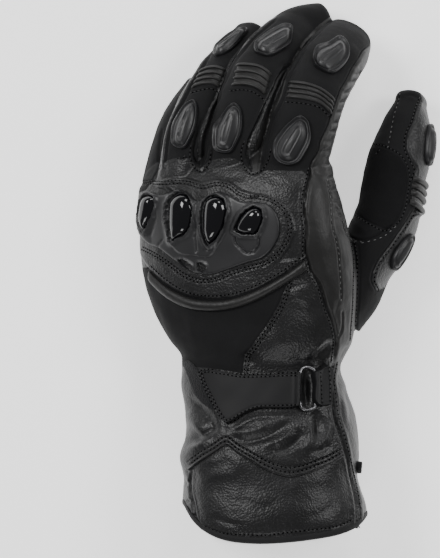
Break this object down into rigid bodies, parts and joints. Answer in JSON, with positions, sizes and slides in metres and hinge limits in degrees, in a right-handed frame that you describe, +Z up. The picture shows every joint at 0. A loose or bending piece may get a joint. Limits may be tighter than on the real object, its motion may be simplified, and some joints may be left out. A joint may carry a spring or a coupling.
{
  "type": "motorcycle glove",
  "caption": "Left-hand leather motorcycle glove with a long cuff, moulded knuckle guard, finger pads, ribbed stretch panels and a wrist strap through a loop, lying palm down",
  "frame": {"origin": "bottom centre of the glove's bounding box, on the surface that it lies on", "axes": "+Y from the cuff to the fingertips, +X to the thumb, +Z up out of the back of the hand"},
  "size_m": [0.1516, 0.2702, 0.0748],
  "materials": {
    "leather": "grained matt",
    "softshell": "matt weave",
    "stretch_ribs": "matt",
    "moulding": "satin",
    "gloss_shell": "polished",
    "suede": "napped",
    "webbing": "woven",
    "hook_fabric": "fuzzy",
    "dark_metal": "satin"
  },
  "bodies": {
    "root": {"index_finger": "leather", "middle_finger": "leather", "ring_finger": "leather", "little_finger": "leather", "thumb": "leather", "knuckle_panel": "leather", "side_panel": "leather", "wrist_panel": "leather", "hand_palm": "leather", "cuff_back": "leather", "cuff_gauntlet": "leather", "cuff_side": "leather", "cuff_palm": "leather", "knuckle_roll": "leather", "cuff_chevron": "leather", "softshell_panel": "softshell", "index_ribs": "stretch_ribs", "middle_ribs": "stretch_ribs", "ring_ribs": "stretch_ribs", "thumb_ribs": "stretch_ribs", "knuckle_guard": "moulding", "index_pad_tip": "moulding", "index_pad_base": "moulding", "middle_pad_tip": "moulding", "middle_pad_base": "moulding", "ring_pad_tip": "moulding", "ring_pad_base": "moulding", "thumb_pad_tip": "moulding", "thumb_pad_base": "moulding", "knuckle_dome_1": "gloss_shell", "knuckle_dome_2": "gloss_shell", "knuckle_dome_3": "gloss_shell", "knuckle_dome_4": "gloss_shell", "thumb_patch": "suede", "wrist_strap": "webbing", "strap_tab": "webbing", "cuff_hem": "webbing", "hook_patch": "hook_fabric", "closure_end": "hook_fabric", "strap_loop": "dark_metal"}
  },
  "joints": []
}
